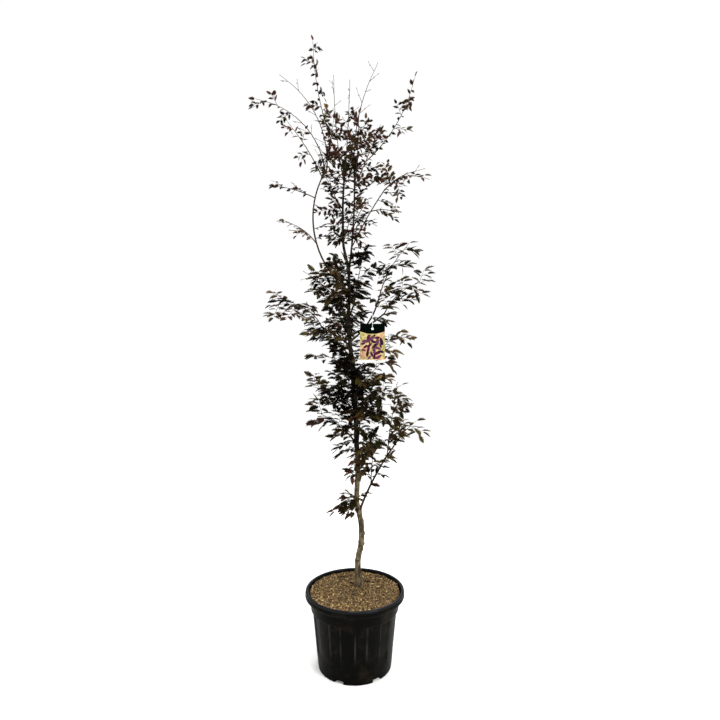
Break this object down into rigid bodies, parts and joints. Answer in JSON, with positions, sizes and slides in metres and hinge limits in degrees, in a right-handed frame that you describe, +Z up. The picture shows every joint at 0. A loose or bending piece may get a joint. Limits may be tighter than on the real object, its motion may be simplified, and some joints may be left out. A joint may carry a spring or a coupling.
{
  "type": "potted european beech tree",
  "caption": "Slender young purple cut-leaved beech, leafy almost to its foot, in a round black nursery pot topped with bark mulch, with a picture tag hung on a side bough.",
  "frame": {"origin": "middle of the pot's flat underside, on the pot's axis", "axes": "+Z up, +X to the right as pictured, +Y away from the pictured front"},
  "size_m": [0.9659, 0.812, 3.206],
  "materials": {
    "pot_plastic": "satin black moulded plastic",
    "mulch": "dry chipped bark over potting soil",
    "bark": "smooth grey-brown young bark",
    "foliage": "dark purple-brown leaves with a soft sheen",
    "tag_card": "printed card, satin",
    "tag_loop": "clear pale plastic"
  },
  "bodies": {
    "root": {"pot": "pot_plastic", "soil": "mulch", "trunk": "bark", "leader_left": "bark", "leader_right": "bark", "bough_low_right": "bark", "bough_low_left": "bark", "bough_low_front": "bark", "bough_low_back": "bark", "bough_mid_left": "bark", "bough_mid_front": "bark", "bough_mid_back": "bark", "bough_mid_right": "bark", "bough_tag": "bark", "bough_right_inner": "bark", "bough_high_right": "bark", "mass_foot_left": "foliage", "mass_low_right_inner": "foliage", "mass_low_right_outer": "foliage", "mass_low_right_tip": "foliage", "mass_low_left": "foliage", "mass_low_front": "foliage", "mass_low_back": "foliage", "mass_mid_low_right": "foliage", "mass_mid_low_left": "foliage", "mass_mid_low_front": "foliage", "mass_mid_low_back": "foliage", "mass_near_right": "foliage", "mass_tag_side": "foliage", "mass_mid_left_lower": "foliage", "mass_near_left": "foliage", "mass_mid_left_tip": "foliage", "mass_mid_left_upper": "foliage", "mass_mid_front": "foliage", "mass_mid_back": "foliage", "mass_mid_right_tip": "foliage", "mass_right_high": "foliage", "mass_right_inner": "foliage", "mass_upper_front": "foliage", "mass_upper_back": "foliage", "mass_left_tips": "foliage", "mass_left_high": "foliage", "mass_column_front": "foliage", "mass_column_back": "foliage", "mass_column_left": "foliage", "mass_high_right_low": "foliage", "mass_high_right_tip": "foliage", "mass_top_left": "foliage", "mass_top_right": "foliage", "shoot_top": "foliage", "shoot_back": "foliage", "shoot_left_upright": "foliage", "shoot_left_wide": "foliage", "shoot_left_low": "foliage", "shoot_right_upright": "foliage", "shoot_right_wide": "foliage", "shoot_right_back": "foliage", "shoot_front": "foliage", "hang_tag": "tag_card", "tag_loop": "tag_loop"}
  },
  "joints": []
}
